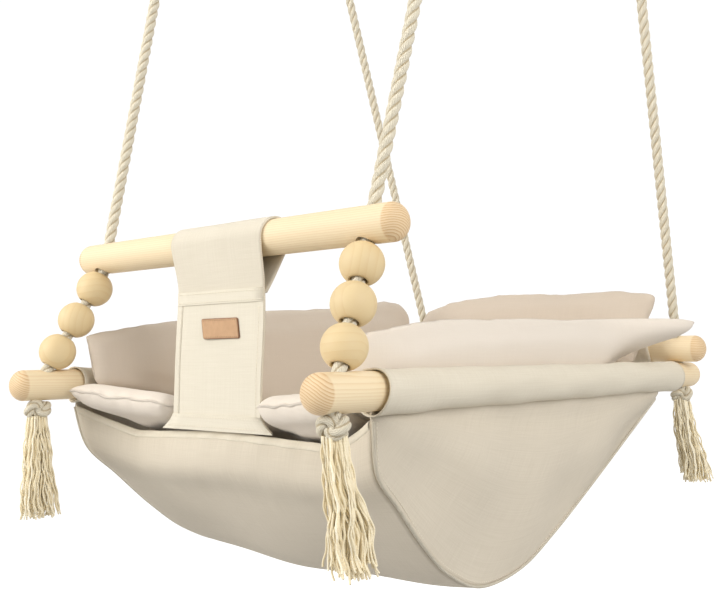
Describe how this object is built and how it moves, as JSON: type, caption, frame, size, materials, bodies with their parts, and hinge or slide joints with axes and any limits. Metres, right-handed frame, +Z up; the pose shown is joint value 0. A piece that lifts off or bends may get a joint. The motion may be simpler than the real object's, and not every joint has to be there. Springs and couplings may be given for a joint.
{
  "type": "baby swing",
  "caption": "Hanging baby swing: a canvas seat slung between pine rails, with a bead-held safety bar, crotch strap, loose pads, cotton ropes, tassels and steel hanging rings.",
  "frame": {"origin": "halfway between the two hanging rings, on the line through the lowest point of their wires about which the seat swings", "axes": "+Z up, +X to the right-hand side seen from the front, the open front of the seat with its bar faces -Y"},
  "size_m": [0.512, 0.6616, 1.2937],
  "materials": {
    "pine": "sanded light pine, clear matt oil, visible end grain",
    "bead": "turned and sanded natural beech, matt",
    "rope": "three-strand twisted natural cotton",
    "canvas": "plain-woven beige cotton and linen canvas",
    "strap_canvas": "ivory cotton twill",
    "pad_pale": "soft pale cotton, padded",
    "pad_greige": "soft greige cotton, padded",
    "leather": "tan vegetable-tanned leather, darkened edges",
    "steel": "zinc-plated wire, welded and polished"
  },
  "bodies": {
    "hanger": {"hang_ring_left": "steel", "hang_ring_right": "steel"},
    "seat": {"side_rail_left": "pine", "side_rail_right": "pine", "back_bar": "pine", "rail_sleeve_left": "canvas", "rail_sleeve_right": "canvas", "back_sleeve": "canvas", "main_panel": "canvas", "side_panel_left": "canvas", "side_panel_right": "canvas", "seam_piping_left": "strap_canvas", "seam_piping_right": "strap_canvas", "seat_pad": "pad_pale", "front_rope_left": "rope", "front_rope_right": "rope", "rear_rope_left": "rope", "rear_rope_right": "rope", "front_knot_left": "rope", "front_knot_right": "rope", "rear_knot_left": "rope", "rear_knot_right": "rope", "hang_knot_left": "rope", "hang_knot_right": "rope"},
    "safety_bar": {"front_bar": "pine", "crotch_strap": "strap_canvas", "leather_label": "leather"},
    "bead_left_1": {"bead_left_1": "bead"},
    "bead_left_2": {"bead_left_2": "bead"},
    "bead_left_3": {"bead_left_3": "bead"},
    "bead_right_1": {"bead_right_1": "bead"},
    "bead_right_2": {"bead_right_2": "bead"},
    "bead_right_3": {"bead_right_3": "bead"},
    "front_tassel_left": {"front_tassel_left": "rope"},
    "front_tassel_right": {"front_tassel_right": "rope"},
    "rear_tassel_left": {"rear_tassel_left": "rope"},
    "rear_tassel_right": {"rear_tassel_right": "rope"},
    "side_pad_left": {"side_pad_left": "pad_greige"},
    "side_pad_right": {"side_pad_right": "pad_pale"},
    "back_pad": {"back_pad": "pad_greige"}
  },
  "joints": [
    {"name": "swing", "type": "hinge", "parent": "hanger", "child": "seat", "pos_m": [0, 0, 0], "axis": [1, 0, 0], "range_deg": [-35, 35]},
    {"name": "bar_lift", "type": "slide", "parent": "seat", "child": "safety_bar", "axis": [0, 0.224, 0.9746], "range_m": [0, 0.025]},
    {"name": "bead_left_1_spin", "type": "hinge", "parent": "seat", "child": "bead_left_1", "pos_m": [-0.17607, -0.22739, -0.97041], "axis": [-0.1679, -0.4507, -0.8767], "continuous": true},
    {"name": "bead_left_2_spin", "type": "hinge", "parent": "seat", "child": "bead_left_2", "pos_m": [-0.18199, -0.24328, -1.00132], "axis": [-0.1679, -0.4507, -0.8767], "continuous": true},
    {"name": "bead_left_3_spin", "type": "hinge", "parent": "seat", "child": "bead_left_3", "pos_m": [-0.18791, -0.25917, -1.03223], "axis": [-0.1679, -0.4507, -0.8767], "continuous": true},
    {"name": "bead_right_1_spin", "type": "hinge", "parent": "seat", "child": "bead_right_1", "pos_m": [0.17607, -0.22739, -0.97041], "axis": [0.1679, -0.4507, -0.8767], "continuous": true},
    {"name": "bead_right_2_spin", "type": "hinge", "parent": "seat", "child": "bead_right_2", "pos_m": [0.18199, -0.24328, -1.00132], "axis": [0.1679, -0.4507, -0.8767], "continuous": true},
    {"name": "bead_right_3_spin", "type": "hinge", "parent": "seat", "child": "bead_right_3", "pos_m": [0.18791, -0.25917, -1.03223], "axis": [0.1679, -0.4507, -0.8767], "continuous": true},
    {"name": "front_tassel_left_sway", "type": "hinge", "parent": "seat", "child": "front_tassel_left", "pos_m": [-0.194, -0.2755, -1.0922], "axis": [1, 0, 0], "range_deg": [-30, 30]},
    {"name": "front_tassel_right_sway", "type": "hinge", "parent": "seat", "child": "front_tassel_right", "pos_m": [0.194, -0.2755, -1.0922], "axis": [1, 0, 0], "range_deg": [-30, 30]},
    {"name": "rear_tassel_left_sway", "type": "hinge", "parent": "seat", "child": "rear_tassel_left", "pos_m": [-0.17605, 0.33325, -1.08565], "axis": [1, 0, 0], "range_deg": [-30, 30]},
    {"name": "rear_tassel_right_sway", "type": "hinge", "parent": "seat", "child": "rear_tassel_right", "pos_m": [0.17605, 0.33325, -1.08565], "axis": [1, 0, 0], "range_deg": [-30, 30]},
    {"name": "side_pad_left_shift", "type": "slide", "parent": "seat", "child": "side_pad_left", "axis": [1, 0, 0], "range_m": [0, 0.05]},
    {"name": "side_pad_right_shift", "type": "slide", "parent": "seat", "child": "side_pad_right", "axis": [-1, 0, 0], "range_m": [0, 0.05]},
    {"name": "back_pad_lift", "type": "slide", "parent": "seat", "child": "back_pad", "axis": [0, 0, 1], "range_m": [0, 0.15]}
  ]
}
